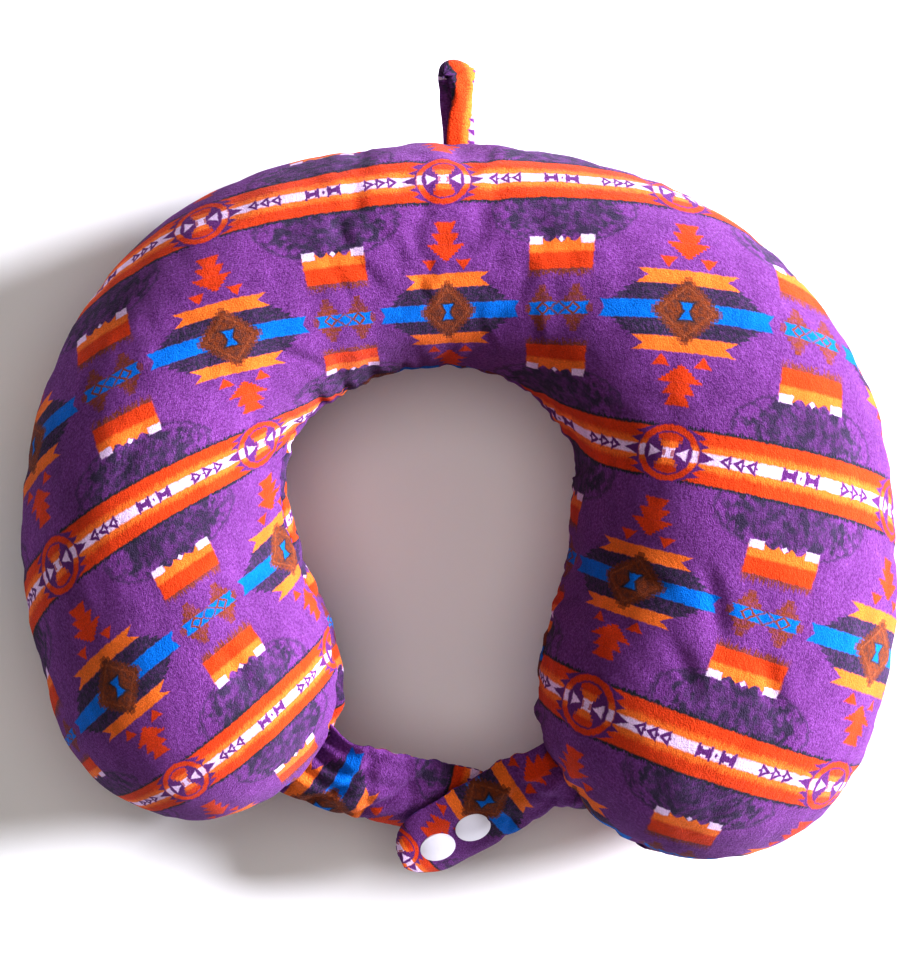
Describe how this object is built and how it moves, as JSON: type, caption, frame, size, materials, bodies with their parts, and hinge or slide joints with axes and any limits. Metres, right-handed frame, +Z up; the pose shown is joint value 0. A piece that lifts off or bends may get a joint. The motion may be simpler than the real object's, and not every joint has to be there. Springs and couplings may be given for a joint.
{
  "type": "u shaped neck pillow",
  "caption": "U-shaped fibre-filled neck pillow in printed plush, with snap straps closing the neck opening and a hang loop at the back.",
  "frame": {"origin": "centre of the footprint on the surface the pillow lies on", "axes": "+Z up through the lying pillow, +Y towards the hang loop at the back of the neck, -Y towards the strap opening, +X towards the arm whose strap lies on top"},
  "size_m": [0.2999, 0.282, 0.0877],
  "materials": {
    "printed_plush": "short brushed pile, geometric print",
    "polyester_fibre": "loose white fibre",
    "sewing_thread": "spun polyester thread",
    "snap_plastic": "smooth moulded plastic"
  },
  "bodies": {
    "pillow": {"top_cover_panel": "printed_plush", "bottom_cover_panel": "printed_plush", "cover_seam_thread": "sewing_thread", "closing_seam_thread": "sewing_thread", "fibre_filling": "polyester_fibre", "right_strap_sewn_end": "printed_plush", "left_strap_sewn_end": "printed_plush", "hang_loop_sewn_end": "printed_plush"},
    "right_strap": {"right_strap_front_ply": "printed_plush", "right_strap_back_ply": "printed_plush", "right_strap_edge_thread": "sewing_thread", "snap_cap_inner": "snap_plastic", "snap_cap_tip": "snap_plastic", "snap_socket_inner": "snap_plastic", "snap_socket_tip": "snap_plastic"},
    "left_strap": {"left_strap_front_ply": "printed_plush", "left_strap_back_ply": "printed_plush", "left_strap_edge_thread": "sewing_thread", "snap_stud": "snap_plastic", "snap_back_cap": "snap_plastic"},
    "hang_loop": {"hang_loop": "printed_plush"}
  },
  "joints": [
    {"name": "right_strap_lift", "type": "hinge", "parent": "pillow", "child": "right_strap", "pos_m": [0.0255, -0.10993, 0.04021], "axis": [-0.4824, 0.6194, 0.6194], "range_deg": [0, 95]},
    {"name": "left_strap_drop", "type": "hinge", "parent": "pillow", "child": "left_strap", "pos_m": [-0.03016, -0.10952, 0.0444], "axis": [0.3973, 0.7648, 0.5073], "range_deg": [0, 35]},
    {"name": "hang_loop_swing", "type": "hinge", "parent": "pillow", "child": "hang_loop", "pos_m": [-0.0012, 0.1145, 0.041], "axis": [1, 0, 0], "range_deg": [-75, 75]}
  ]
}
